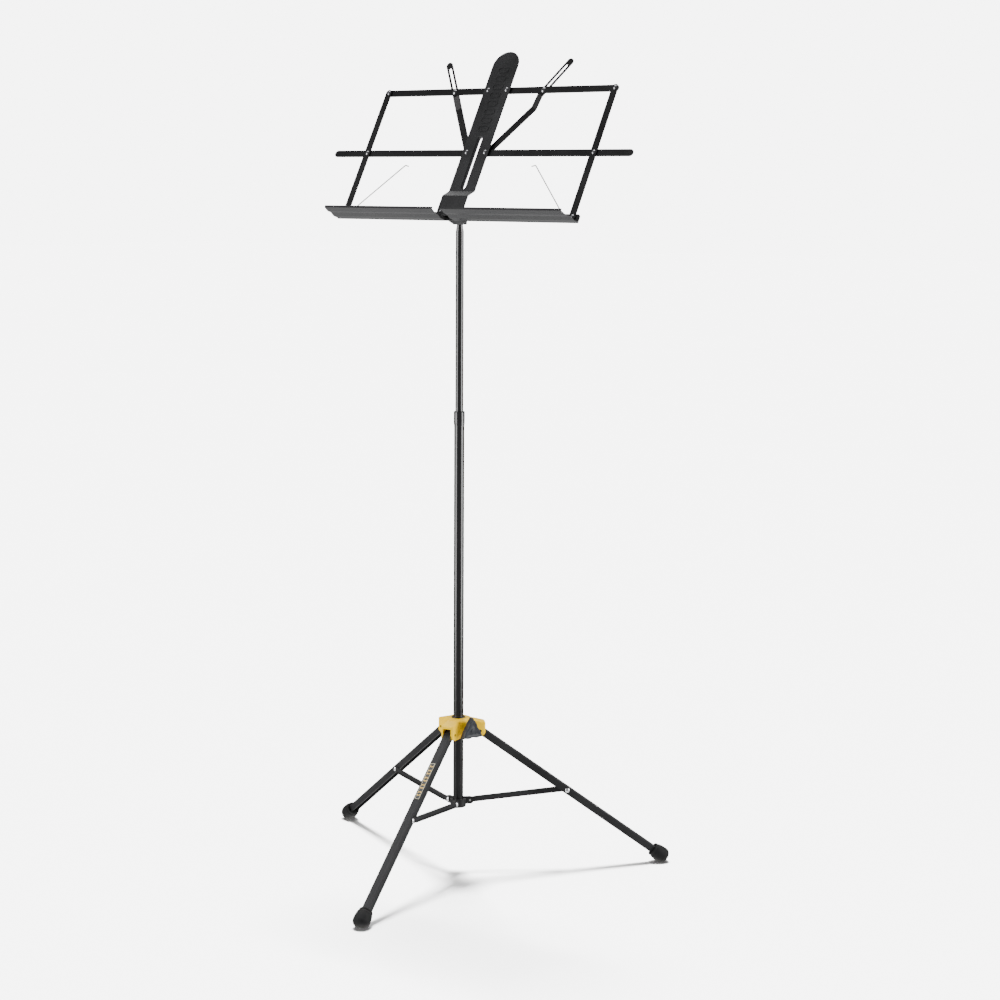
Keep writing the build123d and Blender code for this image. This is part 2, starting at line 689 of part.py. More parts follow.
def make_support_arm():
    """Lies behind the bars, bowed back and out at its knee. Drawn along x, its pivot at the origin."""
    tip = arm_length - bar_width / 2
    low, high = rear_back - 2 * arm_bow, rear_front + over
    outline = strip((0, 0), (arm_knee, -arm_knee_out), bar_width, low, high)
    outline += strip((arm_knee, -arm_knee_out), (arm_straight, 0), bar_width, low, high)
    outline += strip((arm_straight, 0), (tip, 0), bar_width, low, high)
    line = [(-bar_width, 0), (bar_width, 0), (arm_knee, -arm_bow), (arm_straight, 0), (arm_length, 0)]
    edge = [(x, bar_width, rear_front + n) for x, n in line]
    edge += [(x, bar_width, rear_back + n) for x, n in reversed(line)]
    sheet = extrude(make_face(Polyline(*edge, close=True)), 2 * bar_width, dir=(0, -1, 0))
    arm = outline & sheet
    first = arm_pin_distance() - arm_pin_radius - side_gap
    last = arm_slot_end + arm_pin_radius
    shape = Pos((first + last) / 2, 0) * SlotOverall(last - first, 2 * arm_slot_half_width)
    arm -= slab(shape, -far, far)
    arm -= hole(0, 0, rivet_shank + running_fit)
    return Pos(pivot_x, mid_pivot_y, 0) * Rot(0, 0, 90 - arm_angle) * arm


def arm_pin_distance():
    return math.hypot(arm_pin_station, top_pivot_y - mid_pivot_y)


def make_arm_pin():
    """Slides in the arm's slot, behind the stud on the top bar."""
    shank = Pos(0, 0, rear_back - side_gap) * rod(arm_pin_radius, bar_thickness + side_gap)
    disc = Pos(0, 0, rear_back - side_gap - rivet_tail) * rod(rivet_head, rivet_tail)
    return Pos(pivot_x + arm_pin_station, top_pivot_y, 0) * (shank + disc)


def make_arm_stud():
    """Domed stud on the top bar where the support arm's slot crosses it."""
    shank = Pos(0, 0, layer_2_back) * rod(rivet_shank, bar_thickness)
    head = Pos(0, 0, layer_2_front) * dome(arm_stud_head, rivet_dome)
    return Pos(pivot_x + arm_pin_station, top_pivot_y, 0) * (shank + head)


def shelf_profile():
    """Ribbed shelf in section: depth from the flange's back, height from the shelf's top."""
    back = layer_2_front - tray_sheet
    first, ridge, second = tray_ribs
    stations = [(back, 0), (0, 0), (first, -tray_rib), (ridge, 0), (second, -tray_rib), (tray_depth, 0)]
    top = stations + [(tray_depth, tray_lip)]
    under = [(tray_depth + tray_sheet, tray_lip), (tray_depth + tray_sheet, -tray_sheet)]
    under += [(n, h - tray_sheet) for n, h in reversed(stations[:-1])]
    return top + under


def make_tray(inner_x, chamfered):
    face = make_face(Polyline(*[(0, shelf_top_y + h, n) for n, h in shelf_profile()], close=True))
    shelf = Pos(inner_x, 0, 0) * extrude(face, tray_outer_x - inner_x, dir=(1, 0, 0))
    start = pivot_x - flange_round
    height = tray_flange_top + tray_drop + tray_sheet
    flange = Pos((start + tray_outer_x) / 2, tray_pivot_y + tray_flange_top - height / 2) * Rectangle(
        tray_outer_x - start, height)
    flange = fillet(flange.vertices().group_by(Axis.Y)[-1], flange_corner)
    tray = shelf + slab(flange, layer_2_front - tray_sheet, layer_2_front)
    if chamfered:
        front, back = tray_depth + tray_sheet + over, tray_depth - tray_chamfer_n
        cut = [(tray_outer_x - tray_chamfer_x, front), (tray_outer_x + over, front),
               (tray_outer_x + over, back), (tray_outer_x, back)]
        wedge = make_face(Polyline(*[(x, 0, n) for x, n in cut], close=True))
        tray -= Pos(0, shelf_top_y - tray_drop, 0) * extrude(wedge, 2 * tray_drop, dir=(0, 1, 0))
    for x in (pivot_x, side_bar_x):
        tray -= hole(x, tray_pivot_y, rivet_shank + running_fit)
    return tray - hole(wire_x, wire_y, post_radius)


def make_wire_post():
    back = layer_2_front - tray_sheet
    front = wire_plane + wire_radius + side_gap
    post = Pos(0, 0, back - rivet_tail) * rod(post_head - rivet_tail_inset, rivet_tail)
    post += Pos(0, 0, back) * rod(post_radius, front - back)
    post += Pos(0, 0, layer_2_front) * rod(post_head, wire_plane - wire_radius - side_gap - layer_2_front)
    post += Pos(0, 0, front) * dome(post_head, rivet_dome)
    return Pos(wire_x, wire_y, 0) * post


def make_page_wire():
    """Spring wire: an eye round its post, a straight run and a short hooked tip."""
    eye_radius = post_radius + running_fit + wire_radius
    eye = Torus(eye_radius, wire_radius)
    run = wire_length - eye_radius
    wire = eye + Pos(0, eye_radius, 0) * rod(wire_radius, run, "Y")
    hook = Pos(0, wire_length, 0) * Rot(0, 0, wire_hook_turn) * rod(wire_radius, wire_hook, "Y")
    wire += Pos(0, wire_length, 0) * Sphere(wire_radius) + hook
    return Pos(wire_x, wire_y, wire_plane) * Rot(0, 0, wire_lean) * wire


def add(name, shape):
    nodes[name] = shape


def add_pair(name, shape):
    add(name + "_right", desk * shape)
    add(name + "_left", desk * mirror(shape, Plane.YZ))


def build():
    add("lower_tube", make_lower_tube())
    add("friction_bush", make_friction_bush())
    add("bottom_bracket", make_bottom_bracket())
    add("bracket_pin", bracket_pin_rod())
    add("upper_tube", make_upper_tube())
    add("upper_tube_glide", make_glide())
    add("hub", make_hub())
    add("hub_bush", make_hub_bush())
    add("clamp_pad", make_clamp_pad())
    add("clamp_knob", make_knob())
    add("knob_stud", make_knob_stud())
    angles = leg_angles.values()
    add("leg_pins", Compound(children=[radial(a, make_leg_pin()) for a in angles]))
    add("brace_pins", Compound(children=[radial(a, make_brace_pin()) for a in angles]))
    for side, angle in leg_angles.items():
        add("leg_" + side, radial(angle, make_leg()))
        add("foot_" + side, radial(angle, make_foot()))
        add("leg_rivet_" + side, radial(angle, make_leg_rivet()))
        add("brace_" + side, radial(angle, make_brace()))
        add("brace_rivet_" + side, radial(angle, make_brace_rivet()))
    add("leg_label", radial(leg_angles["front"], make_label()))
    add("tilt_yoke", make_tilt_yoke())
    add("tilt_bracket", make_tilt_bracket())
    add("tilt_bolt", make_tilt_bolt())
    add("tilt_nut", make_tilt_nut())
    add("tilt_washers", make_tilt_washers())
    add("centre_plate", make_centre_plate())
    add("plate_rivets", make_plate_rivets())
    add("plate_spacers", make_plate_spacers())
    add("tray_spacers", make_tray_spacers())
    add_pair("top_bar", make_top_bar())
    add_pair("mid_bar", make_mid_bar())
    add_pair("side_bar", make_side_bar())
    add_pair("side_rivets", make_side_rivets())
    add_pair("support_arm", make_support_arm())
    add_pair("arm_pin", make_arm_pin())
    add_pair("arm_stud", make_arm_stud())
    add_pair("wire_post", make_wire_post())
    add_pair("page_wire", make_page_wire())
    add("tray_right", desk * make_tray(tray_inner_right, True))
    add("tray_left", desk * mirror(make_tray(tray_inner_left, False), Plane.YZ))


build()
os.makedirs("parts", exist_ok=True)
for name, shape in nodes.items():
    export_step(shape, "parts/" + name + ".step")
print(len(nodes), "nodes written")
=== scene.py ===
import json
import math

import bmesh
import bpy
from mathutils import Matrix, Vector


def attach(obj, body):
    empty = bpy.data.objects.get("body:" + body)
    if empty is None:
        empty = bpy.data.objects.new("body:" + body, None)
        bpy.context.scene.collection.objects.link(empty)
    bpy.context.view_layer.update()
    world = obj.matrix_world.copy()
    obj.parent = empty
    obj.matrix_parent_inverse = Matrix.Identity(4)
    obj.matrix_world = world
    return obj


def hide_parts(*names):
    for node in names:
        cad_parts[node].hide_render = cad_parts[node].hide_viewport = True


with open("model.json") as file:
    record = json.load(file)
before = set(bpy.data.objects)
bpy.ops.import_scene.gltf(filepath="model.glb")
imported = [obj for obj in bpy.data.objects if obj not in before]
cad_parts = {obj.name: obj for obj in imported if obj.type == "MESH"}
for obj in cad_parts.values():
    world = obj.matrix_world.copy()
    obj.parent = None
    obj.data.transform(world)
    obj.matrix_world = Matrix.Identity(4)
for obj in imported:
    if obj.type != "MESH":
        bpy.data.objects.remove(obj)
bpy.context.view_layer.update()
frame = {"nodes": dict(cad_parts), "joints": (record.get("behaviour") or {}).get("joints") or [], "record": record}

jointAt = {joint["name"]: joint for joint in frame["joints"]}


class Tap:  # one output of a node, with arithmetic that adds Math nodes
    def __init__(self, paint, socket):
        self.paint, self.socket = paint, socket

    def calc(self, operation, first, second):
        return self.paint.node("ShaderNodeMath", {"operation": operation}, {0: first, 1: second})

    def __add__(self, other): return self.calc("ADD", self, other)
    def __radd__(self, other): return self.calc("ADD", other, self)
    def __sub__(self, other): return self.calc("SUBTRACT", self, other)
    def __rsub__(self, other): return self.calc("SUBTRACT", other, self)
    def __mul__(self, other): return self.calc("MULTIPLY", self, other)
    def __rmul__(self, other): return self.calc("MULTIPLY", other, self)


class Paint:  # a material, or the world, and its nodes
    def __init__(self, name, tree=None):
        if not tree:
            self.material = bpy.data.materials.new(name)
            self.material.use_nodes = True
            tree = self.material.node_tree
        self.tree = tree
        self.tree.nodes.clear()

    def node(self, kind, settings=None, sockets=None, out=0):
        made = self.tree.nodes.new(kind)
        for key, value in (settings or {}).items():
            setattr(made, key, value)
        for key, value in (sockets or {}).items():
            if isinstance(value, Tap):
                self.tree.links.new(value.socket, made.inputs[key])
            else:
                made.inputs[key].default_value = value
        return Tap(self, made.outputs[out]) if made.outputs else None

    def place(self):  # metres in the frame, so grain has its real scale
        return self.node("ShaderNodeTexCoord", out="Object")

    def noise(self, scale, detail=3, rough=0.55, stretch=None):
        at = self.place()
        if stretch:
            at = self.node("ShaderNodeMapping", {}, {"Vector": at, "Scale": stretch})
        return self.node("ShaderNodeTexNoise", {}, {"Vector": at, "Scale": scale, "Detail": detail,
                                                    "Roughness": rough})

    def cells(self, scale):
        return self.node("ShaderNodeTexVoronoi", {}, {"Vector": self.place(), "Scale": scale})

    def ramp(self, value, low, high):  # 0 at low, 1 at high
        return self.node("ShaderNodeMapRange", {"clamp": True},
                         {"Value": value, "From Min": low, "From Max": high})

    def blend(self, mask, first, second):  # 6 and 7 are the Mix node's colours
        colours = {key: value if isinstance(value, Tap) else (*value, 1)
                   for key, value in ((6, first), (7, second))}
        return self.node("ShaderNodeMix", {"data_type": "RGBA"}, {0: mask, **colours}, out=2)

    def bump(self, height, strength, distance, under=None):
        sockets = {"Height": height, "Strength": strength, "Distance": distance}
        if under:
            sockets["Normal"] = under
        return self.node("ShaderNodeBump", {}, sockets)

    def finish(self, **sockets):
        named = {key.replace("_", " "): value for key, value in sockets.items()}
        shader = self.node("ShaderNodeBsdfPrincipled", {}, named)
        self.node("ShaderNodeOutputMaterial", {}, {"Surface": shader})
        return self.material


noiseRange = {"wide": (0.3, 0.7), "narrow": (0.35, 0.65), "patches": (0.35, 0.7), "wear": (0.45, 0.8)}

powderCoats = {
    "tubeBlack": {"dark": (0.0025, 0.0025, 0.003), "light": (0.006, 0.006, 0.0065), "grain": 900,
                  "peel": 0.06, "gloss": 0.16, "dull": 0.24, "specular": 0.75, "speckle": 0.0,
                  "scuffs": 0.06},
    "frameGrey": {"dark": (0.006, 0.006, 0.0065), "light": (0.022, 0.022, 0.0235), "grain": 1500,
                  "peel": 0.30, "gloss": 0.40, "dull": 0.54, "specular": 0.22, "speckle": 0.5,
                  "scuffs": 0.2},
    "barGrey": {"dark": (0.003, 0.003, 0.0035), "light": (0.009, 0.009, 0.0095), "grain": 1300,
                "peel": 0.16, "gloss": 0.30, "dull": 0.42, "specular": 0.26, "speckle": 0.2,
                "scuffs": 0.15},
}
coatMarks = {"cloudScale": 14, "cloudShare": 0.4, "fleckScale": 0.8, "fleckFrom": 0.30, "fleckTo": 0.05,
             "fleckLift": 2.6, "scuffScale": 160, "scuffRough": 0.7, "scuffStretch": (1, 1, 0.12),
             "scuffFrom": 0.66, "scuffTo": 0.74, "scuffLift": 3.0, "scuffDull": 0.2, "scuffBump": 0.25,
             "scuffDepth": 0.0001, "peelDepth": 0.00025}


def lifted(colour, times):
    return tuple(min(1, times * part) for part in colour)


def powderCoat(name, coat):
    paint, marks = Paint(name), coatMarks
    grain = paint.noise(coat["grain"], detail=2)
    cloud = paint.noise(marks["cloudScale"], detail=4)
    fleck = paint.cells(coat["grain"] * marks["fleckScale"])
    fleck = paint.ramp(fleck, marks["fleckFrom"], marks["fleckTo"]) * coat["speckle"]
    scuff = paint.noise(marks["scuffScale"], detail=5, rough=marks["scuffRough"],
                        stretch=marks["scuffStretch"])
    scuff = paint.ramp(scuff, marks["scuffFrom"], marks["scuffTo"]) * coat["scuffs"]
    mottle = grain * (1 - marks["cloudShare"]) + cloud * marks["cloudShare"]
    tone = paint.blend(paint.ramp(mottle, *noiseRange["narrow"]), coat["dark"], coat["light"])
    tone = paint.blend(fleck, tone, lifted(coat["light"], marks["fleckLift"]))
    tone = paint.blend(scuff, tone, lifted(coat["light"], marks["scuffLift"]))
    rough = paint.ramp(cloud, *noiseRange["wide"]) * (coat["dull"] - coat["gloss"]) + coat["gloss"]
    skin = paint.bump(grain, coat["peel"], marks["peelDepth"])
    skin = paint.bump(scuff, marks["scuffBump"], marks["scuffDepth"], skin)
    return paint.finish(Base_Color=tone, Roughness=rough + scuff * marks["scuffDull"], Normal=skin,
                        Specular_IOR_Level=coat["specular"])


plastics = {
    "hubYellow": {"dark": (0.84, 0.50, 0.0), "light": (0.95, 0.60, 0.0), "gloss": 0.36, "dull": 0.48,
                  "specular": 0.14, "grain": 2200, "pit": 0.10, "marks": (0.55, 0.30, 0.01)},
    "blackNylon": {"dark": (0.004, 0.004, 0.004), "light": (0.010, 0.010, 0.011), "gloss": 0.36,
                   "dull": 0.50, "specular": 0.3, "grain": 2500, "pit": 0.15, "marks": (0.05, 0.05, 0.05)},
    "knobSlate": {"dark": (0.011, 0.0125, 0.0155), "light": (0.024, 0.027, 0.033), "gloss": 0.40,
                  "dull": 0.55, "specular": 0.3, "grain": 2600, "pit": 0.3, "marks": (0.09, 0.095, 0.10)},
}
mouldMarks = {"cloudScale": 30, "rubScale": 120, "rubRough": 0.7, "rubFrom": 0.64, "rubTo": 0.76,
              "rubShare": 0.35, "rubDull": 0.3, "pitDepth": 0.0002}


def mouldedPlastic(name, mix):
    paint, marks = Paint(name), mouldMarks
    cloud = paint.noise(marks["cloudScale"], detail=4)
    grain = paint.noise(mix["grain"], detail=2)
    rub = paint.noise(marks["rubScale"], detail=6, rough=marks["rubRough"])
    rub = paint.ramp(rub, marks["rubFrom"], marks["rubTo"]) * marks["rubShare"]
    tone = paint.blend(paint.ramp(cloud, *noiseRange["wide"]), mix["dark"], mix["light"])
    tone = paint.blend(rub, tone, mix["marks"])
    rough = paint.ramp((cloud + grain) * 0.5, *noiseRange["narrow"]) * (mix["dull"] - mix["gloss"])
    return paint.finish(Base_Color=tone, Roughness=rough + mix["gloss"] + rub * marks["rubDull"],
                        Normal=paint.bump(grain, mix["pit"], marks["pitDepth"]),
                        Specular_IOR_Level=mix["specular"])


steels = {
    "rivetSteel": {"dark": (0.46, 0.46, 0.47), "light": (0.78, 0.78, 0.79), "gloss": 0.16, "dull": 0.34,
                   "scale": 500},
    "darkSteel": {"dark": (0.03, 0.03, 0.032), "light": (0.09, 0.09, 0.095), "gloss": 0.35, "dull": 0.5,
                  "scale": 400},
    # painted shade: a darker copy of the rivet steel for the desk's rivets, standing in for the dark surroundings
    # they reflect
    "shadedRivetSteel": {"dark": (0.10, 0.10, 0.105), "light": (0.24, 0.24, 0.25), "gloss": 0.14, "dull": 0.26,
                   "scale": 500},
    "wireSteel": {"dark": (0.22, 0.215, 0.21), "light": (0.42, 0.41, 0.40), "gloss": 0.20, "dull": 0.36,
                  "scale": 300},
}
plateMarks = {"pitScale": 6, "pitBump": 0.12, "pitDepth": 0.0001}  # pitScale is times the patches' scale


def platedSteel(name, plate):
    paint, marks = Paint(name), plateMarks
    patch = paint.noise(plate["scale"], detail=4)
    pits = paint.noise(plate["scale"] * marks["pitScale"], detail=2)
    tone = paint.blend(paint.ramp(patch, *noiseRange["patches"]), plate["light"], plate["dark"])
    rough = paint.ramp(patch, *noiseRange["wide"]) * (plate["dull"] - plate["gloss"]) + plate["gloss"]
    return paint.finish(Base_Color=tone, Roughness=rough, Metallic=1.0,
                        Normal=paint.bump(pits, marks["pitBump"], marks["pitDepth"]))


footRubber = {"dark": (0.003, 0.003, 0.003), "light": (0.009, 0.009, 0.0095), "dust": (0.10, 0.098, 0.092),
              "dustTop": 0.012, "dustShare": 0.5, "grain": 1800, "grainRough": 0.7, "cloudScale": 60,
              "gloss": 0.62, "dull": 0.80, "specular": 0.2, "bump": 0.35, "depth": 0.0003}


def rubber(name, mix):
    paint = Paint(name)
    grain = paint.noise(mix["grain"], detail=3, rough=mix["grainRough"])
    cloud = paint.noise(mix["cloudScale"], detail=4)
    height = paint.node("ShaderNodeSeparateXYZ", {}, {"Vector": paint.place()}, out="Z")
    dust = paint.ramp(height, mix["dustTop"], 0.0) * mix["dustShare"]  # thickest at the floor
    dust = dust * paint.ramp(cloud, *noiseRange["narrow"])
    tone = paint.blend(paint.ramp(cloud, *noiseRange["wide"]), mix["dark"], mix["light"])
    tone = paint.blend(dust, tone, mix["dust"])
    rough = paint.ramp(grain, *noiseRange["wide"]) * (mix["dull"] - mix["gloss"]) + mix["gloss"]
    return paint.finish(Base_Color=tone, Roughness=rough, Specular_IOR_Level=mix["specular"],
                        Normal=paint.bump(grain, mix["bump"], mix["depth"]))


film = {"ground": (0.012, 0.012, 0.011), "groundWorn": (0.035, 0.034, 0.03), "border": (0.60, 0.55, 0.38),
        "borderWorn": (0.42, 0.38, 0.25), "gold": (0.80, 0.50, 0.09), "goldWorn": (0.55, 0.33, 0.05),
        "wearScale": 220, "gloss": 0.28, "dull": 0.43, "coat": 0.2, "grain": 3000, "bump": 0.08,
        "depth": 0.0001}


def printedFilm(name, ink):
    paint = Paint(name)
    cloud = paint.noise(film["wearScale"], detail=5)
    tone = paint.blend(paint.ramp(cloud, *noiseRange["wear"]), film[ink], film[ink + "Worn"])
    rough = paint.ramp(cloud, *noiseRange["wide"]) * (film["dull"] - film["gloss"]) + film["gloss"]
    grain = paint.noise(film["grain"], detail=2)
    return paint.finish(Base_Color=tone, Roughness=rough, Coat_Weight=film["coat"],
                        Normal=paint.bump(grain, film["bump"], film["depth"]))


finishes = {
    "tube_black": powderCoat("tubeBlack", powderCoats["tubeBlack"]),
    "frame_paint": powderCoat("frameGrey", powderCoats["frameGrey"]),
    "bar_paint": powderCoat("barGrey", powderCoats["barGrey"]),
    "yellow_hub": mouldedPlastic("hubYellow", plastics["hubYellow"]),
    "black_plastic": mouldedPlastic("blackNylon", plastics["blackNylon"]),
    "spacer_black": mouldedPlastic("spacerNylon", plastics["blackNylon"]),
    "knob_plastic": mouldedPlastic("knobSlate", plastics["knobSlate"]),
    "dark_steel": platedSteel("darkSteel", steels["darkSteel"]),
    "bright_steel": platedSteel("rivetSteel", steels["rivetSteel"]),
    "wire_steel": platedSteel("wireSteel", steels["wireSteel"]),
    "foot_rubber": rubber("footRubber", footRubber),
    "sticker": printedFilm("stickerGround", "ground"),
}
shadedDeskRivets = platedSteel("shadedRivetSteel", steels["shadedRivetSteel"])  # painted shade: the desk's rivets get a darker copy of the rivet steel, standing in for the dark surroundings they reflect
deskRivets = ("plate_rivets", "side_rivets", "arm_stud", "arm_pin", "wire_post", "tilt_bolt", "tilt_nut")
for subpart in frame["record"]["subparts"]:
    node = frame["nodes"][subpart["node"]]
    node.data.materials.clear()
    onDesk = subpart["node"].startswith(deskRivets)
    node.data.materials.append(shadedDeskRivets if onDesk else finishes[subpart["material_slot"]])
print("finishes on the CAD nodes")


def addPiece(name, data, body, slot, finish, *hidden, matrix=None):
    piece = bpy.data.objects.new(name, data)
    bpy.context.scene.collection.objects.link(piece)
    if matrix:
        piece.matrix_world = matrix
    data.materials.append(finish)
    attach(piece, body)
    if hidden:
        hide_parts(*hidden)


def frameFrom(origin, along, up):  # x along, z as near to up as it can be
    x = Vector(along).normalized()
    y = Vector(up).cross(x).normalized()
    turn = Matrix((x, y, x.cross(y))).transposed().to_4x4()
    return Matrix.Translation(origin) @ turn


def ringPoints(station, steps, radiusAt):  # round the x axis, from z towards y
    points = []
    for step in range(steps):
        angle = 2 * math.pi * step / steps
        points.append((station, radiusAt(angle) * math.sin(angle), radiusAt(angle) * math.cos(angle)))
    return points


def skinRings(name, rings):  # joins the rings and closes both ends
    mesh = bpy.data.meshes.new(name)
    build = bmesh.new()
    loops = [[build.verts.new(point) for point in ring] for ring in rings]
    for first, second in zip(loops, loops[1:]):
        for step in range(len(first)):
            after = (step + 1) % len(first)
            build.faces.new((first[step], first[after], second[after], second[step]))
    build.faces.new(reversed(loops[0]))
    build.faces.new(loops[-1])
    bmesh.ops.recalc_face_normals(build, faces=build.faces)
    build.to_mesh(mesh)
    build.free()
    mesh.shade_smooth()
    return mesh


foot = {"centreHeight": 0.013, "mouthBack": 0.0180, "mouthRadius": 0.0112, "bulb": 0.0147, "tip": 0.0144,
        "throat": ((0.001, -0.0025), (0.0, -0.0012)), "lip": 0.0009, "steps": 72, "rows": 21,
        "lipRings": ((0, 0.5), (1, 1.0), (3, 1.1), (4, 0.7), (5, 1.0)),  # in lips, along and out
        "swellFrom": 0.18, "swellPower": 1.25, "noseFrom": 0.62, "noseCentre": 0.55, "nosePower": 2.6,
        "noseFlat": 0.002}


def legFrame(side):  # from the leg's pivot, along the leg to the middle of its foot
    pivot = Vector(jointAt["leg_fold_" + side]["pos_m"])
    standing = next(m for m in frame["record"]["mounts"] if m["name"] == f"foot_{side}_floor")
    toe = Vector(standing["pos_m"]) + Vector((0, 0, foot["centreHeight"]))
    return frameFrom(pivot, toe - pivot, (0, 0, 1)), (toe - pivot).length


def footRadius(part):  # the bulb swells, then closes in a blunt nose
    neck = foot["mouthRadius"] + foot["lip"]
    if part < foot["noseFrom"]:
        turn = (foot["swellFrom"] + (1 - foot["swellFrom"]) * part) ** foot["swellPower"]
        return neck + (foot["bulb"] - neck) * math.sin(math.pi * turn)
    if part < 1:
        reach = (part - foot["noseCentre"]) / (1 - foot["noseCentre"])
        return foot["bulb"] * math.sqrt(1 - reach ** foot["nosePower"])
    return foot["noseFlat"]


def footProfile():  # (station along the leg from the foot's middle, radius)
    back, mouth, lip = -foot["mouthBack"], foot["mouthRadius"], foot["lip"]
    points = [(back + along, mouth + out) for along, out in foot["throat"]]
    points += [(back + along * lip, mouth + out * lip) for along, out in foot["lipRings"]]
    start = points[-1][0]
    for row in range(1, foot["rows"] + 1):
        part = row / foot["rows"]
        points.append((start + part * (foot["tip"] - start), footRadius(part)))
    return points


def makeFeet():
    for side in ("front", "right", "left"):
        matrix, length = legFrame(side)
        rings = [ringPoints(length + station, foot["steps"], lambda _: radius)
                 for station, radius in footProfile()]
        mesh = skinRings("foot", rings)
        mesh.transform(matrix)
        for vertex in mesh.vertices:  # stands flat on the floor
            vertex.co.z = max(vertex.co.z, 0.0)
        addPiece("rubber_foot_" + side, mesh, "leg_" + side, "foot_rubber", finishes["foot_rubber"],
                 "foot_" + side)


makeFeet()
print("feet")


sticker = {"border": 0.0007, "inset": 0.0008, "lift": 0.00008, "marks": 9, "markMargin": 0.003,
           "markLean": 0.0022, "markWidth": 0.0026, "markRows": ((-0.62, -0.08), (0.08, 0.62))}


def flatMesh(name, quads, height):
    mesh = bpy.data.meshes.new(name)
    build = bmesh.new()
    for quad in quads:
        build.faces.new([build.verts.new((*point, height)) for point in quad])
    build.to_mesh(mesh)
    build.free()
    return mesh


def borderQuads(start, end, half):
    loops = []
    for inset in (sticker["inset"], sticker["inset"] + sticker["border"]):
        loops.append([(start + inset, -half + inset), (end - inset, -half + inset),
                      (end - inset, half - inset), (start + inset, half - inset)])
    outer, inside = loops
    sides = ((0, 1), (1, 2), (2, 3), (3, 0))
    return [(outer[a], outer[b], inside[b], inside[a]) for a, b in sides]


def markQuads(start, end, half):  # a row of slanted bars, each with a notch across it
    margin = sticker["inset"] + sticker["border"] + sticker["markMargin"]
    room, width = end - start - 2 * margin, sticker["markWidth"] / 2
    quads = []
    for index in range(sticker["marks"]):
        at = start + margin + room * (index + 0.5) / sticker["marks"]
        lean = sticker["markLean"] * (1 if index % 2 else -1)
        for low, high in sticker["markRows"]:
            corners = ((-width, low), (width, low), (width, high), (-width, high))
            quads.append([(at + across + lean * abs(y), y * half) for across, y in corners])
    return quads


def makeSticker():
    matrix, _ = legFrame("front")
    inverse = matrix.inverted()
    corners = [inverse @ vertex.co for vertex in frame["nodes"]["leg_label"].data.vertices]
    start, end = min(c.x for c in corners), max(c.x for c in corners)
    half, top = max(c.y for c in corners), max(c.z for c in corners) + sticker["lift"]
    border = flatMesh("border", borderQuads(start, end, half), top)
    marks = flatMesh("marks", markQuads(start, end, half), top)
    addPiece("sticker_border", border, "leg_front", "sticker", printedFilm("stickerBorder", "border"),
             matrix=matrix)
    addPiece("sticker_marks", marks, "leg_front", "sticker", printedFilm("stickerGold", "gold"),
             matrix=matrix)


makeSticker()
print("sticker")


knob = {"reach": 0.0096, "lobe": 0.0078, "flank": 0.0118, "sharp": 10, "thick": 0.013, "round": 0.0030,
        "boss": 0.0078, "bossEdge": 0.0003, "steps": 120,
        "backShell": ((0.0, 0.002), (0.0008, 0.0009), (0.002, 0.0003)),  # (station past the back, inset)
        "faceShell": ((1.0, 0.0), (0.5, 0.00035), (0.15, 0.0011), (0.0, 0.0022)),  # (share of round, inset)
        "face": ((0.72, 0.0002), (0.55, 0.0012)),  # (share of the outline, depth)
        "dish": ((0.38, 0.0013), (0.34, 0.0004), (0.30, 0.0002)),  # (share of dishWidth, depth)
        "dishWidth": 0.01248}


def knobOutline(angle):  # three round lobes joined by hollow flanks
    third = 2 * math.pi / 3
    folded = (angle + third / 2) % third - third / 2
    across = knob["reach"] * math.sin(folded)
    tip = 0
    if abs(across) < knob["lobe"]:
        tip = knob["reach"] * math.cos(folded) + math.sqrt(knob["lobe"] ** 2 - across ** 2)
    flank = knob["flank"] / max(0.5, math.cos(third / 2 - abs(folded)))
    return (tip ** knob["sharp"] + flank ** knob["sharp"]) ** (1 / knob["sharp"])


def makeKnob():
    joint = jointAt["knob_turn"]
    axis, centre = Vector(joint["axis"]), Vector(joint["pos_m"])
    stations = [(vertex.co - centre).dot(axis) for vertex in frame["nodes"]["clamp_knob"].data.vertices]
    back, face = min(stations), max(stations)
    shoulder = face - knob["thick"]

    def ring(station, radiusAt):
        return ringPoints(station, knob["steps"], radiusAt)

    rings = [ring(station, lambda angle: knob["boss"])
             for station in (back, back + knob["bossEdge"], shoulder)]
    rings += [ring(shoulder + past, lambda angle: knobOutline(angle) - inset)
              for past, inset in knob["backShell"]]
    rings += [ring(face - share * knob["round"], lambda angle: knobOutline(angle) - inset)
              for share, inset in knob["faceShell"]]
    rings += [ring(face - depth, lambda angle: knobOutline(angle) * share) for share, depth in knob["face"]]
    rings += [ring(face - depth, lambda angle: knob["dishWidth"] * share)
              for share, depth in knob["dish"]]
    addPiece("grip_knob", skinRings("knob", rings), "knob", "knob_plastic", finishes["knob_plastic"],
             "clamp_knob", matrix=frameFrom(centre, axis, (0, 0, 1)))


makeKnob()
print("knob")


pageWire = {"radius": 0.00105, "eye": 0.0036, "turns": 1.75, "pitch": 2.05, "eyeSteps": 28, "length": 0.129,
            "along": (0.05, 0.3, 0.65, 1.0), "hook": 0.0065, "hookTurn": 62, "bend": 0.0024, "bendSteps": 8,
            "lean": 44, "roundness": 4}


